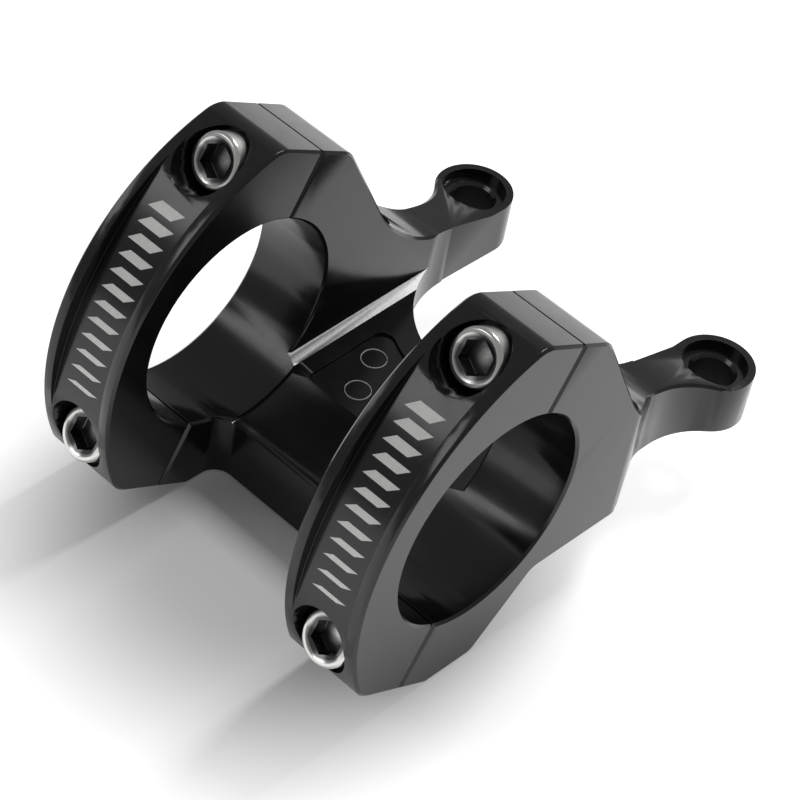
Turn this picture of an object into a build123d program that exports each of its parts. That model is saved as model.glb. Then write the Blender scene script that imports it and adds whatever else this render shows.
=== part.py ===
from build123d import *
import math
import os

# Direct-mount handlebar stem for a double-crown fork.
# Origin: middle of the handlebar axis.  +X along the bar, -Y forward (face caps),
# +Y rearward (crown lugs), +Z up, square to the crown's top face.  Millimetres.

# ---- driving dimensions ---------------------------------------------------------------
bar_radius = 17.5                     # 35 mm handlebar
clamp_width = 14.0                    # each clamp, along the bar
crown_hole_span = 50.8                # side to side
clamp_inset = 0.4                     # clamp's middle inside the crown holes' line
split_tilt = 26.0                     # the split plane leans back by this many degrees
split_gap = 0.4                       # open line between cap and body
clamp_half_height = bar_radius + 11.2  # bar axis to the top and bottom flats, along the split

# face cap
cap_reach = bar_radius + 5.65         # bar axis to the front of the cap
cap_front_radius = clamp_half_height + 8.3  # curve of the cap's front
cap_corner_radius = 5.0               # front curve into the top and bottom flats
rim_width = 1.9                       # raised rim on each side of the cap's sunk band
band_depth = 2.2                      # depth of the sunk band at mid height
band_radius = clamp_half_height + 23.3  # flatter curve of the sunk band

# cap bolts, M5 socket head
bolt_offset = bar_radius + 5.3        # bolt axis from the bar axis, along the split
bolt_radius = 2.5
bolt_length = 18.0                    # under the head
bolt_head_radius = 4.25
bolt_head_height = 5.0
socket_across_flats = 4.8
socket_depth = 2.8
socket_mouth_radius = 3.25
socket_mouth_depth = 0.45
head_edge_chamfer = 0.35
bolt_tip_chamfer = 0.6
bolt_seat = 8.6                       # split plane to the face under the head
thread_clearance = 0.05               # radial, shank in the body
shank_clearance = 0.25                # radial, shank in the cap
head_clearance = 0.75                 # radial, head in its pocket
thread_spare_depth = 1.5              # tapped hole past the bolt's end

# body, seen from the side
mount_plane = bar_radius + 0.7        # bar axis down to the crown's top face
body_foot = bar_radius + 11.1         # bar axis down to the lowest face of the clamps
top_flat_length = 4.8                 # split plane to the end of the top flat
shoulder_y = bar_radius + 5.0         # a point on the rear slope
shoulder_z = bar_radius - 0.8
rear_slope = 59.5                     # degrees below horizontal
arm_slope = 14.3                      # fall of the arm's top, degrees
shoulder_radius = 5.0
sweep_radius = 26.0                   # concave sweep from the clamp into the arm
foot_corner_radius = 2.5
chin_y = 2.8                          # where the foot turns up to the crown
heel_y = 13.5                         # where the crown face begins

# crown lugs and holes
crown_hole_pitch = 28.6               # front pair to rear pair
rear_hole_y = 60.2
crown_hole_radius = 3.35              # M6 clearance
lug_radius = 6.4
lug_thickness = 9.6
lug_seat_radius = 5.2
lug_seat_depth = 1.5
hole_mouth_chamfer = 0.5              # round the lug holes, in the seat
front_seat_wall = 1.8                 # each side of the front seats
front_seat_height = 9.2               # metal under the front bolt heads

# arms, seen from above
steerer_to_rear_holes = 12.7
lug_inner_step = 0.2                  # rear cut-out inside the lugs
arm_outer_step = 0.8                  # outer side of the arm's neck outside the holes' line
clamp_back_step = 0.1                 # full width ends behind the front holes
neck_start_step = 10.8                # neck starts behind the front holes
hip_radius = 4.0
neck_radius = 8.0
lug_blend_radius = 14.0
arm_lower_chamfer = 1.2               # under edges of the arms and lugs

# bridge between the clamps
crossbar_front_y = -0.5
relief_radius = bar_radius + 0.5      # bar clearance between the clamps
corner_strip_width = 1.9              # beside the recess floor
corner_strip_rise = 0.5               # sloped strips from the floor up to the clamps' inner faces
floor_lip_radius = 1.5                # floor's front edge
floor_front_drop = bar_radius - 3.6   # recess floor below the bar axis, at y = 0
floor_rise = 0.058                    # rise of the recess floor per mm rearward
web_blend_radius = 3.0                # crossbar front into the clamps
badge_side_margin = 2.9
badge_back_margin = 3.9               # from the rear cut-out
badge_depth = 0.5
badge_corner_radius = 2.0

edge_chamfer = 0.4
far = 80.0                            # longer than the whole part

# ---- worked out from the above ---------------------------------------------------------
crown_hole_x = crown_hole_span / 2
clamp_mid = crown_hole_x - clamp_inset
clamp_gap = 2 * clamp_mid - clamp_width
clamp_outer = clamp_gap / 2 + clamp_width
tilt = math.radians(split_tilt)
u_dir = Vector(0, math.cos(tilt), -math.sin(tilt))  # across the split, rearward
v_dir = Vector(0, math.sin(tilt), math.cos(tilt))  # along the split, upward
cap_centre_u = cap_front_radius - cap_reach
band_centre_u = band_radius - (cap_reach - band_depth)
half_split = split_gap / 2
front_hole_y = rear_hole_y - crown_hole_pitch
front_seat_radius = clamp_width / 2 - front_seat_wall
steerer_y = rear_hole_y - steerer_to_rear_holes
steerer_clearance = crown_hole_x - lug_radius - lug_inner_step
arm_outer = crown_hole_x + arm_outer_step
clamp_back_y = front_hole_y + clamp_back_step
neck_start_y = front_hole_y + neck_start_step
recess_half_width = clamp_gap / 2 - corner_strip_width
badge_half_width = recess_half_width - badge_side_margin
badge_back_radius = steerer_clearance + badge_back_margin
badge_front_y = bar_radius / 2        # ahead of the recess floor, so the pocket opens forward
lug_top = lug_thickness - mount_plane
pocket_radius = bolt_head_radius + head_clearance


def split_point(u, v):
    """(y, z) of a point given across (u) and along (v) the split plane."""
    point = u_dir * u + v_dir * v
    return (point.Y, point.Z)


def line_meet(point_a, angle_a, point_b, angle_b):
    """Where two side-view lines, given by a point and a downward angle, cross."""
    slope_a = -math.tan(math.radians(angle_a))
    slope_b = -math.tan(math.radians(angle_b))
    y = (point_b[1] - point_a[1] + slope_a * point_a[0] - slope_b * point_b[0]) / (slope_a - slope_b)
    return (y, point_a[1] + slope_a * (y - point_a[0]))


def clamp_plane(x):
    """Side plane at x whose own axes run across and along the split."""
    return Plane(origin=(x, 0, 0), x_dir=u_dir, z_dir=(1, 0, 0))


def bolt_plane(x, v, u):
    """Plane square to a cap bolt, facing forward."""
    return Plane(origin=Vector(x, 0, 0) + u_dir * u + v_dir * v, x_dir=(1, 0, 0), z_dir=-u_dir)


def floor_height(y):
    return floor_rise * y - floor_front_drop


def corner_near(sketch, point):
    """The sketch's corner closest to a point in the sketch's own two axes."""
    return sketch.vertices().sort_by_distance((point[0], point[1], 0))[0]


# ---- outlines of the stem body -----------------------------------------------------------
top_split = split_point(half_split, clamp_half_height)
top_flat_end = split_point(top_flat_length, clamp_half_height)
shoulder = line_meet(top_flat_end, split_tilt, (shoulder_y, shoulder_z), rear_slope)
lug_start_y = rear_hole_y - lug_seat_radius / 2
sweep_corner = line_meet((shoulder_y, shoulder_z), rear_slope, (lug_start_y, lug_top), arm_slope)
bottom_split = split_point(half_split, -clamp_half_height)
foot_front_u = (body_foot - clamp_half_height * math.cos(tilt)) / math.sin(tilt)
foot_front = split_point(foot_front_u, -clamp_half_height)
back_y = rear_hole_y + lug_radius + 2
chin = (chin_y, -body_foot)
heel = (heel_y, -mount_plane)

with BuildSketch(Plane.YZ) as side_outline:
    with BuildLine():
        Polyline(
            top_split,
            shoulder,
            sweep_corner,
            (lug_start_y, lug_top),
            (back_y, lug_top),
            (back_y, -mount_plane),
            heel,
            chin,
            foot_front,
            bottom_split,
            close=True,
        )
    make_face()
    fillet(corner_near(side_outline, shoulder), shoulder_radius)
    fillet(corner_near(side_outline, sweep_corner), sweep_radius)
    fillet(corner_near(side_outline, heel), foot_corner_radius)
    fillet(corner_near(side_outline, chin), foot_corner_radius)

with BuildSketch(Plane.YZ) as bridge_outline:
    with BuildLine():
        Polyline(
            (crossbar_front_y, -body_foot),
            (crossbar_front_y, floor_height(crossbar_front_y)),
            (steerer_y, floor_height(steerer_y)),
            (steerer_y, -mount_plane),
            heel,
            chin,
            close=True,
        )
    make_face()
    fillet(corner_near(bridge_outline, heel), foot_corner_radius)
    fillet(corner_near(bridge_outline, chin), foot_corner_radius)

lug_neck_y = rear_hole_y - math.sqrt(lug_radius**2 - (arm_outer - crown_hole_x) ** 2)
with BuildSketch() as arm_plan:
    with BuildLine():
        Polyline(
            (0, -far / 2),
            (clamp_outer, -far / 2),
            (clamp_outer, clamp_back_y),
            (arm_outer, neck_start_y),
            (arm_outer, rear_hole_y),
            (0, rear_hole_y),
            close=True,
        )
    make_face()
    with Locations((crown_hole_x, rear_hole_y)):
        Circle(lug_radius)
    fillet(corner_near(arm_plan, (clamp_outer, clamp_back_y)), hip_radius)
    fillet(corner_near(arm_plan, (arm_outer, neck_start_y)), neck_radius)
    fillet(corner_near(arm_plan, (arm_outer, lug_neck_y)), lug_blend_radius)
    # the steerer's clearance, open to the rear
    with Locations((0, steerer_y)):
        Circle(steerer_clearance, mode=Mode.SUBTRACT)
    with Locations((0, steerer_y + far / 2)):
        Rectangle(2 * (crown_hole_x - lug_radius), far, mode=Mode.SUBTRACT)
    mirror(about=Plane.YZ)

with BuildPart() as plan_block:
    # the clamps keep the full plan down to the foot
    with BuildSketch(Plane.XY.offset(-far / 2)):
        add(arm_plan.sketch_local)
        with Locations((0, clamp_back_y + far / 2)):
            Rectangle(far, far, mode=Mode.SUBTRACT)
    extrude(amount=far)
    with BuildSketch(Plane.XY.offset(arm_lower_chamfer - mount_plane)):
        add(arm_plan.sketch_local)
    extrude(amount=far)
    # under the arms and lugs the plan draws in
    with BuildSketch(Plane.XY.offset(arm_lower_chamfer - mount_plane)):
        add(arm_plan.sketch_local)
    extrude(amount=-arm_lower_chamfer, taper=45)

# ---- stem body ---------------------------------------------------------------------------
floor_plane = Plane(origin=(0, 0, floor_height(0)), x_dir=(1, 0, 0), z_dir=(0, -floor_rise, 1))

with BuildPart() as stem_body:
    # the two clamps with their arms
    for side in (-1, 1):
        with BuildSketch(Plane.YZ.offset(side * clamp_gap / 2)):
            add(side_outline.sketch_local)
        extrude(amount=side * (clamp_width + lug_radius))
    # the bridge that joins them
    with BuildSketch(Plane.YZ):
        add(bridge_outline.sketch_local)
    extrude(amount=clamp_gap / 2, both=True)
    # the crossbar's front face runs into the clamps in a hollow curve
    with BuildSketch(Plane.XY.offset(-body_foot)):
        for side in (-1, 1):
            corner_x = side * (clamp_gap - web_blend_radius) / 2
            with Locations((corner_x, crossbar_front_y - web_blend_radius / 2)):
                Rectangle(web_blend_radius, web_blend_radius)
        for side in (-1, 1):
            round_x = side * (clamp_gap / 2 - web_blend_radius)
            with Locations((round_x, crossbar_front_y - web_blend_radius)):
                Circle(web_blend_radius, mode=Mode.SUBTRACT)
    extrude(amount=body_foot - bar_radius / 2)
    # sloped strips beside the recess floor
    with BuildSketch(Plane(origin=floor_plane.origin, x_dir=(1, 0, 0), z_dir=-floor_plane.y_dir)):
        for side in (-1, 1):
            with BuildLine():
                Polyline(
                    (side * recess_half_width, 0),
                    (side * clamp_gap / 2, corner_strip_rise),
                    (side * clamp_mid, corner_strip_rise),
                    (side * clamp_mid, -1),
                    (side * recess_half_width, -1),
                    close=True,
                )
            make_face()
    extrude(amount=-steerer_y)
    # trimmed to the plan
    add(plan_block.part, mode=Mode.INTERSECT)
    # everything ahead of the split belongs to the caps
    for side in (-1, 1):
        with BuildSketch(clamp_plane(side * clamp_mid)):
            with Locations((half_split - far / 2, 0)):
                Rectangle(far, 2 * far)
        extrude(amount=clamp_width / 2, both=True, mode=Mode.SUBTRACT)
    # bar bore, and the wider relief between the clamps
    with BuildSketch(Plane.YZ):
        Circle(bar_radius)
    extrude(amount=far, both=True, mode=Mode.SUBTRACT)
    with BuildSketch(Plane.YZ):
        Circle(relief_radius)
    extrude(amount=recess_half_width, both=True, mode=Mode.SUBTRACT)
    # edges round both sides of each clamp
    outer_faces = stem_body.faces().filter_by(Axis.X).sort_by(Axis.X)
    chamfer(outer_faces[-1].outer_wire().edges() + outer_faces[0].outer_wire().edges(), edge_chamfer)
    inner_faces = stem_body.faces().filter_by(lambda face: abs(abs(face.center().X) - clamp_gap / 2) < 0.1)
    inner_edges = inner_faces.filter_by(Axis.X).edges()
    chamfer(inner_edges.filter_by(lambda edge: not edge.is_interior), edge_chamfer)
    # tapped holes for the cap bolts
    for x in (-clamp_mid, clamp_mid):
        for v in (-bolt_offset, bolt_offset):
            with BuildSketch(bolt_plane(x, v, 0)):
                Circle(bolt_radius + thread_clearance)
            extrude(amount=-(bolt_length - bolt_seat + thread_spare_depth), mode=Mode.SUBTRACT)
    # crown holes: two through the lugs, two sunk in front of them
    with BuildSketch(Plane.XY.offset(-mount_plane)):
        with Locations((0, (rear_hole_y + front_hole_y) / 2)):
            with GridLocations(crown_hole_span, crown_hole_pitch, 2, 2):
                Circle(crown_hole_radius)
    extrude(amount=far, mode=Mode.SUBTRACT)
    with BuildSketch(Plane.XY.offset(front_seat_height - mount_plane)):
        with Locations((-crown_hole_x, front_hole_y), (crown_hole_x, front_hole_y)):
            Circle(front_seat_radius)
    extrude(amount=far, mode=Mode.SUBTRACT)
    with BuildSketch(Plane.XY.offset(lug_top - lug_seat_depth)):
        with Locations((-crown_hole_x, rear_hole_y), (crown_hole_x, rear_hole_y)):
            Circle(lug_seat_radius)
    extrude(amount=far, mode=Mode.SUBTRACT)
    with Locations(Plane.XY.offset(lug_top - lug_seat_depth)):
        with Locations((-crown_hole_x, rear_hole_y), (crown_hole_x, rear_hole_y)):
            Cone(
                crown_hole_radius,
                crown_hole_radius + hole_mouth_chamfer,
                hole_mouth_chamfer,
                align=(Align.CENTER, Align.CENTER, Align.MAX),
                mode=Mode.SUBTRACT,
            )
    floor_lip_y = math.sqrt(relief_radius**2 - floor_height(0) ** 2)
    lip_edges = stem_body.edges().sort_by_distance((0, floor_lip_y, floor_height(floor_lip_y)))
    fillet(lip_edges[0], floor_lip_radius)
    # shallow badge pocket in the recess floor
    with BuildSketch(floor_plane.offset(-badge_depth)) as badge:
        with Locations((0, (badge_front_y + steerer_y) / 2)):
            Rectangle(2 * badge_half_width, steerer_y - badge_front_y)
        with Locations((0, steerer_y)):
            Circle(badge_back_radius, mode=Mode.SUBTRACT)
        badge_corner_y = steerer_y - math.sqrt(badge_back_radius**2 - badge_half_width**2)
        for side in (-1, 1):
            fillet(corner_near(badge, (side * badge_half_width, badge_corner_y)), badge_corner_radius)
    extrude(amount=badge_depth + 1, mode=Mode.SUBTRACT)


# ---- face caps and their bolts -----------------------------------------------------------
def make_cap(x_mid):
    """One face cap: curved front with a sunk band, two bolt pockets, half of the bore."""
    with BuildPart() as cap:
        with BuildSketch(clamp_plane(x_mid)) as outline:
            with Locations((cap_centre_u, 0)):
                Circle(cap_front_radius)
            with Locations((-half_split - far / 2, 0)):
                Rectangle(far, 2 * clamp_half_height, mode=Mode.INTERSECT)
            corner_u = cap_centre_u - math.sqrt(cap_front_radius**2 - clamp_half_height**2)
            for v in (-clamp_half_height, clamp_half_height):
                fillet(corner_near(outline, (corner_u, v)), cap_corner_radius)
            Circle(bar_radius, mode=Mode.SUBTRACT)
        extrude(amount=clamp_width / 2, both=True)
        side_faces = cap.faces().filter_by(Axis.X)
        chamfer(side_faces.edges(), edge_chamfer)
        with BuildSketch(clamp_plane(x_mid)):
            with Locations((-bolt_seat - far / 2, 0)):
                Rectangle(far, far)
            with Locations((band_centre_u, 0)):
                Circle(band_radius, mode=Mode.SUBTRACT)
        extrude(amount=clamp_width / 2 - rim_width, both=True, mode=Mode.SUBTRACT)
        for v in (-bolt_offset, bolt_offset):
            with BuildSketch(bolt_plane(x_mid, v, -bolt_seat)):
                Circle(pocket_radius)
            extrude(amount=far, mode=Mode.SUBTRACT)
            with BuildSketch(bolt_plane(x_mid, v, 0)):
                Circle(bolt_radius + shank_clearance)
            extrude(amount=far, both=True, mode=Mode.SUBTRACT)
    return cap


def make_bolt(x, v):
    """One M5 socket-head screw, seated in its cap."""
    with BuildPart() as bolt:
        with BuildSketch(bolt_plane(x, v, -bolt_seat)):
            Circle(bolt_radius)
        extrude(amount=-bolt_length)
        chamfer(bolt.edges().sort_by(Axis((0, 0, 0), u_dir))[-1], bolt_tip_chamfer)
        with BuildSketch(bolt_plane(x, v, -bolt_seat)):
            Circle(bolt_head_radius)
        extrude(amount=bolt_head_height)
        chamfer(bolt.edges().sort_by(Axis((0, 0, 0), u_dir))[0], head_edge_chamfer)
        with Locations(bolt_plane(x, v, -bolt_seat - bolt_head_height)):
            Cone(
                socket_across_flats / 2,
                socket_mouth_radius,
                socket_mouth_depth,
                align=(Align.CENTER, Align.CENTER, Align.MAX),
                mode=Mode.SUBTRACT,
            )
        with BuildSketch(bolt_plane(x, v, -bolt_seat - bolt_head_height)):
            RegularPolygon(socket_across_flats / 2, 6, major_radius=False)
        extrude(amount=-socket_depth, mode=Mode.SUBTRACT)
    return bolt


# ---- finished pieces ---------------------------------------------------------------------
pieces = {"stem_body": stem_body}
for side, x in (("left", -clamp_mid), ("right", clamp_mid)):
    pieces[side + "_face_cap"] = make_cap(x)
    pieces[side + "_upper_cap_bolt"] = make_bolt(x, bolt_offset)
    pieces[side + "_lower_cap_bolt"] = make_bolt(x, -bolt_offset)

os.makedirs("parts", exist_ok=True)
for name, piece in pieces.items():
    piece.part.label = name
    export_step(piece.part, f"parts/{name}.step")
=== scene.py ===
import bpy
import bmesh
import math
from mathutils import Matrix, Vector


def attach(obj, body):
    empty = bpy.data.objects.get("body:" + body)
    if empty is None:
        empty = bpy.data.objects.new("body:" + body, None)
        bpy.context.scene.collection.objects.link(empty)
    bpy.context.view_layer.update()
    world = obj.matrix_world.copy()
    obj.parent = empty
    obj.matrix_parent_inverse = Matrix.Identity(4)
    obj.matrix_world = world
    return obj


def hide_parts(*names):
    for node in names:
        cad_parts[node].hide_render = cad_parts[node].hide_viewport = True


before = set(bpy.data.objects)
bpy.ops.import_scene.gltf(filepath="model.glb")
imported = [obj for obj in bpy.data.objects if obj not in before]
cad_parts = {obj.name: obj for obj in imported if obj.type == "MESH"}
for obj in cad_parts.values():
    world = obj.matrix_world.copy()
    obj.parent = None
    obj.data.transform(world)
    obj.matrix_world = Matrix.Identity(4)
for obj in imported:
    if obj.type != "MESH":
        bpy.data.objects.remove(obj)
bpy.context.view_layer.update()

# ---- sizes, in metres -------------------------------------------------------------------
MM = 0.001
split_tilt = math.radians(26)
across_split = Vector((0, math.cos(split_tilt), -math.sin(split_tilt)))   # rearward
along_split = Vector((0, math.sin(split_tilt), math.cos(split_tilt)))     # upward
clamp_mid = 25 * MM
bar_radius = 17.5 * MM

bolt_offset = 22.8 * MM
bolt_seat = 8.6 * MM
bolt_radius = 2.5 * MM
bolt_length = 18 * MM
head_radius = 4.25 * MM
head_height = 5 * MM
socket_across = 4.8 * MM
socket_depth = 2.8 * MM
mouth_radius = 3.4 * MM
thread_pitch = 0.8 * MM

crown_hole_x = 25.4 * MM
crown_hole_rows = (31.6 * MM, 60.2 * MM)
crown_hole_radius = 3.35 * MM

band_front = 20.95 * MM               # bar axis to the middle of the cap's sunk band
band_radius = 52 * MM
pocket_floor_drop = 14.4 * MM         # pocket's floor below the bar axis, at y = 0
floor_rise = 0.058                    # rise of that floor per metre rearward
first_ring_x = -9.8 * MM
first_ring_y = 22.2 * MM

# finishing of the machined pieces
weld_distance = 0.002 * MM
flat_enough = math.radians(0.4)       # faces that differ by less are joined
sharp_edge = math.radians(32)
easing_width = 0.07 * MM
bore_slot = 1
hole_slot = 2

# studio
floor_level = -28.75 * MM
floor_reach = 4.0
shade_middle = (0, -6 * MM, floor_level)
shade_core = 14 * MM                  # the floor's glow is lowest within this radius
shade_edge = 60 * MM                  # and full outside this one

bodies = {
    "stem_body": "stem",
    "left_face_cap": "left_cap",
    "right_face_cap": "right_cap",
    "left_upper_cap_bolt": "left_upper_bolt",
    "left_lower_cap_bolt": "left_lower_bolt",
    "right_upper_cap_bolt": "right_upper_bolt",
    "right_lower_cap_bolt": "right_lower_bolt",
}


# ---- shader values ----------------------------------------------------------------------
class Shade:
    """One output in a material's node tree, which sums and products can be taken of."""

    def __init__(self, tree, socket=None):
        self.tree = tree
        self.socket = socket

    def make(self, kind, settings=None, inputs=None, output=0):
        """Any node: its settings, then its inputs as plain values or other Shades."""
        node = self.tree.nodes.new(kind)
        for name, setting in (settings or {}).items():
            setattr(node, name, setting)
        for key, value in (inputs or {}).items():
            if isinstance(value, Shade):
                self.tree.links.new(value.socket, node.inputs[key])
            else:
                node.inputs[key].default_value = value
        return Shade(self.tree, node.outputs[output])

    def sum_of(self, operation, first, second):
        return self.make("ShaderNodeMath", {"operation": operation}, {0: first, 1: second})

    def __add__(self, other):
        return self.sum_of("ADD", self, other)

    def __radd__(self, other):
        return self.sum_of("ADD", other, self)

    def __mul__(self, other):
        return self.sum_of("MULTIPLY", self, other)

    def between(self, low, high):
        """0 below low, 1 above high, smooth in between."""
        return self.make(
            "ShaderNodeMapRange",
            {"interpolation_type": "SMOOTHSTEP"},
            {"Value": self, "From Min": low, "From Max": high},
        )


def blank_material(name):
    """A new material with an empty node tree, and the tree to build it in."""
    material = bpy.data.materials.new(name)
    material.use_nodes = True
    material.node_tree.nodes.clear()
    return material, Shade(material.node_tree)


def close_material(tree, surface):
    output = tree.tree.nodes.new("ShaderNodeOutputMaterial")
    tree.tree.links.new(surface.socket, output.inputs["Surface"])


def noise(tree, where, scale, detail=2.0, roughness=0.5):
    return tree.make(
        "ShaderNodeTexNoise",
        {},
        {"Vector": where, "Scale": scale, "Detail": detail, "Roughness": roughness},
    )


def mix_colour(tree, amount, low, high):
    return tree.make(
        "ShaderNodeMix",
        {"data_type": "RGBA"},
        {"Factor": amount, 6: low, 7: high},
        output=2,
    )


def anodised_black(name, turned):
    """Smooth black anodising; turned adds the fine lathe lines of the bar bore."""
    material, tree = blank_material(name)
    where = tree.make("ShaderNodeTexCoord", output=3)
    broad = noise(tree, where, 70.0, 3.0)
    smudge = noise(tree, where, 260.0, 4.0, 0.6).between(0.42, 0.68)
    grain = noise(tree, where, 9000.0, 2.0, 0.6)
    colour = mix_colour(tree, broad, (0.0030, 0.0030, 0.0032, 1), (0.0055, 0.0053, 0.0050, 1))
    height = grain
    if turned:
        along_bar = tree.make("ShaderNodeSeparateXYZ", {}, {0: where})
        line = tree.make("ShaderNodeMath", {"operation": "PINGPONG"}, {0: along_bar, 1: 0.00012})
        height = grain * 0.5 + line * 4000.0
    bump = tree.make(
        "ShaderNodeBump", {}, {"Strength": 0.12, "Distance": 0.00002, "Height": height}
    )
    surface = tree.make(
        "ShaderNodeBsdfPrincipled",
        {},
        {
            "Base Color": colour,
            "Roughness": 0.15 + smudge * 0.04 + grain * 0.05,
            "IOR": 1.50,
            "Normal": bump,
        },
    )
    close_material(tree, surface)
    return material


def matt_black(name):
    """Drilled walls under the anodising: dull, with drill rings down the hole."""
    material, tree = blank_material(name)
    where = tree.make("ShaderNodeTexCoord", output=3)
    down_hole = tree.make("ShaderNodeSeparateXYZ", {}, {0: where}, output=2)
    ring = tree.make("ShaderNodeMath", {"operation": "PINGPONG"}, {0: down_hole, 1: 0.00015})
    grain = noise(tree, where, 7000.0, 2.0)
    colour = mix_colour(tree, grain, (0.003, 0.003, 0.003, 1), (0.007, 0.007, 0.007, 1))
    bump = tree.make(
        "ShaderNodeBump",
        {},
        {"Strength": 0.25, "Distance": 0.00003, "Height": ring * 4000.0 + grain},
    )
    surface = tree.make(
        "ShaderNodeBsdfPrincipled",
        {},
        {
            "Base Color": colour,
            "Roughness": 0.5 + grain * 0.2,
            "Specular IOR Level": 0.15,
            "Normal": bump,
        },
    )
    close_material(tree, surface)
    return material


def turned_steel(name):
    """Bright plated steel: rings on the faces, a light knurl round the head, painted shade in the socket.
    """
    material, tree = blank_material(name)
    where = tree.make("ShaderNodeUVMap", {"uv_map": "turning"})
    spread = tree.make("ShaderNodeVectorMath", {"operation": "MULTIPLY"}, {0: where, 1: (9.0, 60.0, 1.0)})
    rings = noise(tree, spread, 1.0, 3.0, 0.65)
    place = tree.make("ShaderNodeTexCoord", output=3)
    cloud = noise(tree, place, 900.0, 3.0)
    grain = noise(tree, place, 14000.0, 2.0)
    knurl = tree.make("ShaderNodeAttribute", {"attribute_name": "knurl"}, output=2)
    socket_shade = tree.make("ShaderNodeAttribute", {"attribute_name": "socket_shade"}, output=2)
    colour = mix_colour(tree, cloud, (0.60, 0.595, 0.58, 1), (0.76, 0.75, 0.735, 1))
    # painted shade: the socket and the mouth of the head are coloured near black
    colour = mix_colour(tree, socket_shade, colour, (0.10, 0.10, 0.10, 1))
    bump = tree.make(
        "ShaderNodeBump",
        {},
        {"Strength": 0.18, "Distance": 0.00002, "Height": rings + grain * 0.4 + knurl * grain},
    )
    surface = tree.make(
        "ShaderNodeBsdfPrincipled",
        {},
        {
            "Base Color": colour,
            "Metallic": 1.0,
            "Roughness": 0.16 + rings * 0.1 + knurl * 0.14,
            "Normal": bump,
        },
    )
    close_material(tree, surface)
    return material


def etched_silver(name):
    """Laser-etched marks: bare metal showing through the anodising, slightly uneven."""
    material, tree = blank_material(name)
    where = tree.make("ShaderNodeTexCoord", output=3)
    cloud = noise(tree, where, 1500.0, 3.0)
    hatch = noise(tree, where, 12000.0, 1.0)
    colour = mix_colour(tree, cloud * 0.6 + hatch * 0.4, (0.50, 0.495, 0.485, 1), (0.72, 0.715, 0.70, 1))
    bump = tree.make("ShaderNodeBump", {}, {"Strength": 0.2, "Distance": 0.00001, "Height": hatch})
    surface = tree.make(
        "ShaderNodeBsdfPrincipled",
        {},
        {"Base Color": colour, "Metallic": 0.15, "Roughness": 0.45 + hatch * 0.15, "Normal": bump},
    )
    close_material(tree, surface)
    return material


def pale_floor(name):
    """A pale glowing floor, its glow dimmed under the stem as a painted contact shadow."""
    material, tree = blank_material(name)
    where = tree.make("ShaderNodeTexCoord", output=3)
    cloud = noise(tree, where, 3.0, 2.0)
    colour = mix_colour(tree, cloud, (0.52, 0.52, 0.52, 1), (0.56, 0.56, 0.56, 1))
    from_middle = tree.make(
        "ShaderNodeVectorMath", {"operation": "DISTANCE"}, {0: where, 1: shade_middle}, output=1
    )
    # painted shadow: 0 under the stem, 1 on the open floor; it dims the floor's glow like a contact
    # shadow
    open_floor = from_middle.between(shade_core, shade_edge)
    surface = tree.make(
        "ShaderNodeBsdfPrincipled",
        {},
        {
            "Base Color": colour,
            "Roughness": 0.8,
            "Specular IOR Level": 0.1,
            "Emission Color": mix_colour(tree, open_floor, (0.03, 0.03, 0.03, 1), (0.84, 0.84, 0.84, 1)),
            "Emission Strength": 1.0,
        },
    )
    close_material(tree, surface)
    return material


black = anodised_black("black anodising", False)
hole_black = matt_black("screw hole walls")
bore_black = anodised_black("turned bore", True)
steel = turned_steel("plated steel")
silver = etched_silver("etched marks")


# ---- stem body and face caps --------------------------------------------------------------
def eased_piece(node):
    """A welded copy of a machined piece with its sharp edges eased and its bore marked out."""
    shape = bmesh.new()
    shape.from_mesh(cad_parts[node].data)
    bmesh.ops.remove_doubles(shape, verts=shape.verts, dist=weld_distance)
    bmesh.ops.dissolve_limit(shape, angle_limit=flat_enough, verts=shape.verts, edges=shape.edges)
    bmesh.ops.recalc_face_normals(shape, faces=shape.faces)
    for face in shape.faces:
        face.smooth = True
        middle = face.calc_center_median()
        off_axis = math.hypot(middle.y, middle.z)
        towards_bar = -(face.normal.y * middle.y + face.normal.z * middle.z) / max(off_axis, MM)
        if off_axis < bar_radius + 0.6 * MM and towards_bar > 0.98:
            face.material_index = bore_slot
        for hole_y in crown_hole_rows:
            from_hole = math.hypot(abs(middle.x) - crown_hole_x, middle.y - hole_y)
            if from_hole < crown_hole_radius + 0.2 * MM and abs(face.normal.z) < 0.2:
                face.material_index = hole_slot
    mesh = bpy.data.meshes.new(node + "_finish")
    shape.to_mesh(mesh)
    shape.free()
    mesh.materials.append(black)
    mesh.materials.append(bore_black)
    mesh.materials.append(hole_black)
    mesh.set_sharp_from_angle(angle=sharp_edge)
    piece = bpy.data.objects.new(node + "_finish", mesh)
    bpy.context.collection.objects.link(piece)
    easing = piece.modifiers.new("eased edges", "BEVEL")
    easing.width = easing_width
    easing.segments = 2
    easing.limit_method = "ANGLE"
    easing.angle_limit = sharp_edge
    easing.use_clamp_overlap = True
    easing.harden_normals = True
    return piece


# ---- bolts --------------------------------------------------------------------------------
def hex_reach(angle):
    """Distance from the socket's middle to its wall in that direction."""
    sector = (angle + math.pi / 6) % (math.pi / 3) - math.pi / 6
    return socket_across / 2 / math.cos(sector)


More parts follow.
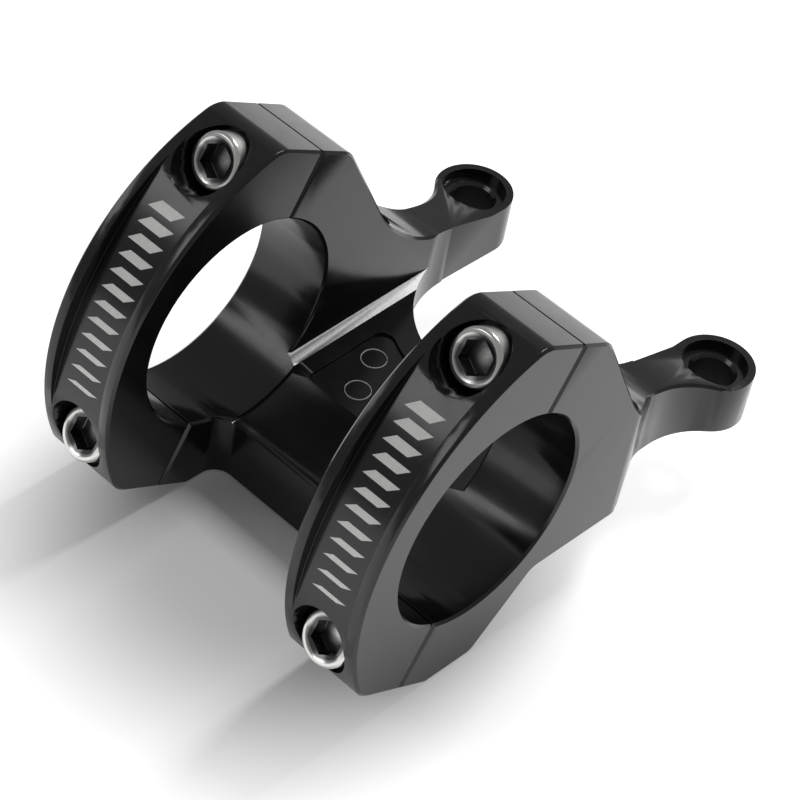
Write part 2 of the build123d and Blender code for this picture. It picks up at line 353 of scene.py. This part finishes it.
def bolt_rings():
    """Rings from the tip to the bottom of the socket, each a list of (radius, height, knurled)."""
    edge = 0.35 * MM
    cone_drop = 0.45 * MM
    cone_run = mouth_radius - socket_across / 2
    rings = []

    def round_ring(radius, height, knurled=0.0):
        rings.append(lambda angle: (radius, height, knurled))

    round_ring(1.7 * MM, -bolt_length)
    round_ring(2.05 * MM, -bolt_length + 0.35 * MM)
    round_ring(2.05 * MM, -1.6 * MM)
    round_ring(2.45 * MM, -1.2 * MM)
    round_ring(2.45 * MM, -0.25 * MM)
    round_ring(2.6 * MM, 0)
    round_ring(head_radius - 0.25 * MM, 0)
    round_ring(head_radius - 0.02 * MM, 0.12 * MM)
    round_ring(head_radius, 0.3 * MM, 1.0)
    round_ring(head_radius, head_height - edge - 0.12 * MM, 1.0)
    round_ring(head_radius - 0.03 * MM, head_height - edge)
    round_ring(head_radius - edge * 0.55, head_height - edge * 0.4)
    round_ring(head_radius - edge, head_height - 0.03 * MM)
    round_ring(head_radius - edge - 0.06 * MM, head_height)
    round_ring(mouth_radius + 0.05 * MM, head_height)
    round_ring(mouth_radius, head_height - 0.03 * MM)
    for share in (0.5, 1.0):
        rings.append(
            lambda angle, share=share: (
                mouth_radius + (hex_reach(angle) - mouth_radius) * share,
                head_height - share * cone_drop * (mouth_radius - hex_reach(angle)) / cone_run,
                0.0,
            )
        )
    rings.append(lambda angle: (hex_reach(angle) - 0.01 * MM, head_height - 0.55 * MM, 0.0))
    rings.append(lambda angle: (hex_reach(angle) - 0.01 * MM, head_height - socket_depth + 0.1 * MM, 0.0))
    rings.append(lambda angle: (hex_reach(angle) - 0.12 * MM, head_height - socket_depth, 0.0))
    rings.append(lambda angle: (1.4 * MM, head_height - socket_depth - 0.05 * MM, 0.0))
    return rings


def bolt_shape():
    """A socket-head screw standing on its seat, head up, ready to be turned into place."""
    steps = 120
    shape = bmesh.new()
    turning = shape.loops.layers.uv.new("turning")
    knurl = shape.verts.layers.float.new("knurl")
    socket_shade = shape.verts.layers.float.new("socket_shade")
    rows = []
    for ring in bolt_rings():
        row = []
        for step in range(steps):
            angle = 2 * math.pi * step / steps
            radius, height, knurled = ring(angle)
            corner = shape.verts.new((radius * math.cos(angle), radius * math.sin(angle), height))
            corner[knurl] = knurled
            # marks the socket and its mouth for the painted shade
            corner[socket_shade] = float(radius < mouth_radius - 0.01 * MM and height > 0)
            row.append(corner)
        rows.append(row)
    for lower, upper in zip(rows, rows[1:]):
        for step in range(steps):
            ahead = (step + 1) % steps
            shape.faces.new((lower[step], lower[ahead], upper[ahead], upper[step]))
    for row, height in ((rows[0], -bolt_length), (rows[-1], head_height - socket_depth - 0.25 * MM)):
        middle = shape.verts.new((0, 0, height))
        for step in range(steps):
            shape.faces.new((row[step], row[(step + 1) % steps], middle))
    bmesh.ops.recalc_face_normals(shape, faces=shape.faces)
    for face in shape.faces:
        face.smooth = True
        for loop in face.loops:
            place = loop.vert.co
            angle = math.atan2(place.y, place.x) / (2 * math.pi)
            loop[turning].uv = (math.hypot(place.x, place.y) / MM + place.z / MM, angle * 0.05)
    return shape


def new_tree(name, inputs):
    """A Geometry Nodes tree with named inputs, and its input and output nodes."""
    tree = bpy.data.node_groups.new(name, "GeometryNodeTree")
    identifiers = {}
    for label, kind in inputs:
        socket = tree.interface.new_socket(name=label, in_out="INPUT", socket_type=kind)
        identifiers[label] = socket.identifier
    tree.interface.new_socket(name="Geometry", in_out="OUTPUT", socket_type="NodeSocketGeometry")
    return tree, identifiers


def add_node(tree, kind, settings=None, values=None, links=None):
    """One geometry node: settings, plain values by input, then links by input."""
    node = tree.nodes.new(kind)
    for name, setting in (settings or {}).items():
        setattr(node, name, setting)
    for key, value in (values or {}).items():
        node.inputs[key].default_value = value
    for key, socket in (links or {}).items():
        tree.links.new(socket, node.inputs[key])
    return node


def finish_tree(tree, geometry, material):
    realized = add_node(tree, "GeometryNodeRealizeInstances", links={0: geometry})
    painted = add_node(
        tree, "GeometryNodeSetMaterial", links={"Geometry": realized.outputs[0], "Material": material}
    )
    output = tree.nodes.new("NodeGroupOutput")
    tree.links.new(painted.outputs[0], output.inputs[0])


def grown_mesh(name, tree, identifiers, values):
    """The plain mesh that a Geometry Nodes tree makes with these input values."""
    holder = bpy.data.objects.new(name + "_grower", bpy.data.meshes.new(name + "_grower"))
    bpy.context.collection.objects.link(holder)
    grower = holder.modifiers.new("grow", "NODES")
    grower.node_group = tree
    for label, value in values.items():
        grower[identifiers[label]] = value
    ready = bpy.context.evaluated_depsgraph_get()
    mesh = bpy.data.meshes.new_from_object(holder.evaluated_get(ready))
    mesh.name = name
    bpy.data.objects.remove(holder)
    return mesh


def thread_tree():
    """A four-sided ridge that climbs a shank in a helix, turning slowly as it goes."""
    tree, identifiers = new_tree(
        "screw thread",
        [
            ("Root Radius", "NodeSocketFloat"),
            ("Ridge", "NodeSocketFloat"),
            ("Pitch", "NodeSocketFloat"),
            ("Turns", "NodeSocketFloat"),
            ("Finish", "NodeSocketMaterial"),
        ],
    )
    given = tree.nodes.new("NodeGroupInput")
    height = add_node(
        tree,
        "ShaderNodeMath",
        {"operation": "MULTIPLY"},
        links={0: given.outputs["Pitch"], 1: given.outputs["Turns"]},
    )
    helix = add_node(
        tree,
        "GeometryNodeCurveSpiral",
        values={"Resolution": 48},
        links={
            "Rotations": given.outputs["Turns"],
            "Start Radius": given.outputs["Root Radius"],
            "End Radius": given.outputs["Root Radius"],
            "Height": height.outputs[0],
        },
    )
    profile = add_node(
        tree, "GeometryNodeCurvePrimitiveCircle", {"mode": "RADIUS"}, {"Resolution": 4},
        {"Radius": given.outputs["Ridge"]},
    )
    ridge = add_node(
        tree,
        "GeometryNodeCurveToMesh",
        values={"Fill Caps": True},
        links={"Curve": helix.outputs[0], "Profile Curve": profile.outputs[0]},
    )
    finish_tree(tree, ridge.outputs[0], given.outputs["Finish"])
    return tree, identifiers


threads, thread_inputs = thread_tree()
thread_turns = (bolt_length - 2.6 * MM) / thread_pitch
thread_mesh = grown_mesh(
    "screw_thread",
    threads,
    thread_inputs,
    {
        "Root Radius": bolt_radius - 0.42 * MM,
        "Ridge": 0.4 * MM,
        "Pitch": thread_pitch,
        "Turns": thread_turns,
        "Finish": steel,
    },
)
thread_mesh.transform(Matrix.Translation((0, 0, 0.5 * MM - bolt_length)))


def seated_bolt(node, x, offset):
    """One cap screw, turned into its place in the clamp at x."""
    shape = bolt_shape()
    shape.from_mesh(thread_mesh)
    for face in shape.faces:
        face.smooth = True
        face.material_index = 0
    facing = Matrix.Rotation(math.pi / 2 - split_tilt, 4, "X")
    seat = Vector((x, 0, 0)) + along_split * offset - across_split * bolt_seat
    shape.transform(Matrix.Translation(seat) @ facing)
    mesh = bpy.data.meshes.new(node + "_finish")
    shape.to_mesh(mesh)
    shape.free()
    mesh.materials.append(steel)
    mesh.set_sharp_from_angle(angle=math.radians(30))
    piece = bpy.data.objects.new(node + "_finish", mesh)
    bpy.context.collection.objects.link(piece)
    return piece


# ---- etched marks ---------------------------------------------------------------------------
def bar_row_tree():
    """Slanted bars set in a row round an arc, thicker towards one end."""
    tree, identifiers = new_tree(
        "row of slanted bars",
        [
            ("Count", "NodeSocketInt"),
            ("Step", "NodeSocketFloat"),
            ("Radius", "NodeSocketFloat"),
            ("Width", "NodeSocketFloat"),
            ("Thickness", "NodeSocketFloat"),
            ("Slant", "NodeSocketFloat"),
            ("Relief", "NodeSocketFloat"),
            ("Finish", "NodeSocketMaterial"),
        ],
    )
    given = tree.nodes.new("NodeGroupInput")

    def maths(operation, first, second=None):
        node = tree.nodes.new("ShaderNodeMath")
        node.operation = operation
        for slot, value in enumerate((first, second)):
            if value is None:
                continue
            if isinstance(value, (int, float)):
                node.inputs[slot].default_value = value
            else:
                tree.links.new(value, node.inputs[slot])
        return node.outputs[0]

    outline = add_node(
        tree,
        "GeometryNodeCurvePrimitiveQuadrilateral",
        {"mode": "PARALLELOGRAM"},
        links={
            "Width": given.outputs["Width"],
            "Height": given.outputs["Thickness"],
            "Offset": given.outputs["Slant"],
        },
    )
    face = add_node(tree, "GeometryNodeFillCurve", {"mode": "NGONS"}, links={0: outline.outputs[0]})
    plate = add_node(
        tree,
        "GeometryNodeExtrudeMesh",
        {"mode": "FACES"},
        links={"Mesh": face.outputs[0], "Offset Scale": given.outputs["Relief"]},
    )
    points = add_node(tree, "GeometryNodeMeshLine", links={"Count": given.outputs["Count"]})
    number = tree.nodes.new("GeometryNodeInputIndex").outputs[0]
    middle = maths("MULTIPLY", maths("SUBTRACT", given.outputs["Count"], 1), 0.5)
    angle = maths("MULTIPLY", maths("SUBTRACT", number, middle), given.outputs["Step"])
    sideways = maths("MULTIPLY", maths("SINE", angle), given.outputs["Radius"])
    outward = maths(
        "MULTIPLY", maths("SUBTRACT", maths("COSINE", angle), 1), given.outputs["Radius"]
    )
    place = add_node(tree, "ShaderNodeCombineXYZ", links={"Y": sideways, "Z": outward})
    row = add_node(
        tree,
        "GeometryNodeSetPosition",
        links={"Geometry": points.outputs[0], "Position": place.outputs[0]},
    )
    lean = add_node(tree, "ShaderNodeCombineXYZ", links={"X": maths("MULTIPLY", angle, -1)})
    share = maths("DIVIDE", number, given.outputs["Count"])
    growth = add_node(
        tree, "ShaderNodeCombineXYZ", values={"X": 1, "Z": 1}, links={"Y": maths("ADD", share, 0.6)}
    )
    placed = add_node(
        tree,
        "GeometryNodeInstanceOnPoints",
        links={
            "Points": row.outputs[0],
            "Instance": plate.outputs[0],
            "Rotation": lean.outputs[0],
            "Scale": growth.outputs[0],
        },
    )
    finish_tree(tree, placed.outputs[0], given.outputs["Finish"])
    return tree, identifiers


bar_row, bar_row_inputs = bar_row_tree()
bar_mesh = grown_mesh(
    "slanted_bars",
    bar_row,
    bar_row_inputs,
    {
        "Count": 12,
        "Step": 0.052,
        "Radius": band_radius,
        "Width": 4.6 * MM,
        "Thickness": 1.1 * MM,
        "Slant": 1.6 * MM,
        "Relief": 0.04 * MM,
        "Finish": silver,
    },
)


def cap_marks(name, x):
    """The row of bars on one cap's sunk band."""
    mesh = bar_mesh.copy()
    band_front_point = Vector((x, 0, 0)) - across_split * (band_front - 0.015 * MM)
    facing = Matrix.Rotation(math.pi / 2 - split_tilt, 4, "X")
    mesh.transform(Matrix.Translation(band_front_point) @ facing)
    piece = bpy.data.objects.new(name, mesh)
    bpy.context.collection.objects.link(piece)
    return piece


def ring_pair_tree():
    """Flat rings side by side."""
    tree, identifiers = new_tree(
        "pair of rings",
        [
            ("Radius", "NodeSocketFloat"),
            ("Line", "NodeSocketFloat"),
            ("Spacing", "NodeSocketVector"),
            ("Finish", "NodeSocketMaterial"),
        ],
    )
    given = tree.nodes.new("NodeGroupInput")
    path = add_node(
        tree,
        "GeometryNodeCurvePrimitiveCircle",
        {"mode": "RADIUS"},
        {"Resolution": 64},
        {"Radius": given.outputs["Radius"]},
    )
    profile = add_node(
        tree,
        "GeometryNodeCurvePrimitiveQuadrilateral",
        {"mode": "RECTANGLE"},
        {"Width": 0.04 * MM},
        {"Height": given.outputs["Line"]},
    )
    ring = add_node(
        tree,
        "GeometryNodeCurveToMesh",
        links={"Curve": path.outputs[0], "Profile Curve": profile.outputs[0]},
    )
    points = add_node(
        tree,
        "GeometryNodeMeshLine",
        {"mode": "OFFSET"},
        {"Count": 2},
        {"Offset": given.outputs["Spacing"]},
    )
    placed = add_node(
        tree,
        "GeometryNodeInstanceOnPoints",
        links={"Points": points.outputs[0], "Instance": ring.outputs[0]},
    )
    finish_tree(tree, placed.outputs[0], given.outputs["Finish"])
    return tree, identifiers


rings, ring_inputs = ring_pair_tree()
ring_mesh = grown_mesh(
    "badge_rings",
    rings,
    ring_inputs,
    {"Radius": 2.0 * MM, "Line": 0.4 * MM, "Spacing": (3.2 * MM, -6.6 * MM, 0), "Finish": silver},
)
pocket_tilt = Matrix.Rotation(math.atan(floor_rise), 4, "X")
ring_start = Vector((first_ring_x, first_ring_y, first_ring_y * floor_rise - pocket_floor_drop))
ring_mesh.transform(Matrix.Translation(ring_start) @ pocket_tilt)
badge_rings = bpy.data.objects.new("badge_rings", ring_mesh)
bpy.context.collection.objects.link(badge_rings)

# ---- everything in its place --------------------------------------------------------------
for node in ("stem_body", "left_face_cap", "right_face_cap"):
    piece = eased_piece(node)
    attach(piece, bodies[node])
    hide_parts(node)

for side, x in (("left", -clamp_mid), ("right", clamp_mid)):
    for level, offset in (("upper", bolt_offset), ("lower", -bolt_offset)):
        node = side + "_" + level + "_cap_bolt"
        piece = seated_bolt(node, x, offset)
        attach(piece, bodies[node])
        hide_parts(node)
    marks = cap_marks(side + "_cap_marks", x)
    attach(marks, side + "_cap")

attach(badge_rings, "stem")

# ---- studio -----------------------------------------------------------------------------
floor_mesh = bpy.data.meshes.new("studio_floor")
floor_shape = bmesh.new()
corners = [(-floor_reach, -floor_reach), (floor_reach, -floor_reach)]
corners += [(floor_reach, floor_reach), (-floor_reach, floor_reach)]
floor_shape.faces.new([floor_shape.verts.new((x, y, floor_level)) for x, y in corners])
floor_shape.to_mesh(floor_mesh)
floor_shape.free()
floor_mesh.materials.append(pale_floor("pale floor"))
studio_floor = bpy.data.objects.new("studio_floor", floor_mesh)
bpy.context.collection.objects.link(studio_floor)

world = bpy.data.worlds.new("studio")
bpy.context.scene.world = world
world.use_nodes = True
sky = world.node_tree.nodes["Background"]
sky.inputs["Color"].default_value = (1, 1, 1, 1)
sky.inputs["Strength"].default_value = 0.30


def soft_light(name, place, aim, width, height, power):
    """A soft panel of light facing a point."""
    light = bpy.data.lights.new(name, "AREA")
    light.shape = "RECTANGLE"
    light.size = width
    light.size_y = height
    light.energy = power
    lamp = bpy.data.objects.new(name, light)
    lamp.location = place
    lamp.rotation_euler = (Vector(aim) - Vector(place)).to_track_quat("-Z", "Y").to_euler()
    bpy.context.collection.objects.link(lamp)


middle = (0, 0.02, 0)
soft_light("overhead panel", (-0.02, 0.40, 0.52), middle, 0.14, 0.24, 2.4)
soft_light("front panel", (-0.45, -0.55, 0.55), middle, 0.4, 0.3, 1.0)

camera_data = bpy.data.cameras.new("camera")
camera_data.sensor_width = 36
camera_data.lens = 126.74
camera_data.clip_start = 0.01
camera_right = Vector((0.708840, 0.689819, 0.147293))
camera_up = Vector((-0.552656, 0.413374, 0.723666))
camera_back = camera_right.cross(camera_up)
camera = bpy.data.objects.new("camera", camera_data)
turn = Matrix((camera_right, camera_up, camera_back)).transposed().to_4x4()
camera.matrix_world = Matrix.Translation((0.182336, -0.229777, 0.269051)) @ turn
bpy.context.collection.objects.link(camera)
bpy.context.scene.camera = camera
bpy.context.scene.view_settings.view_transform = "Standard"
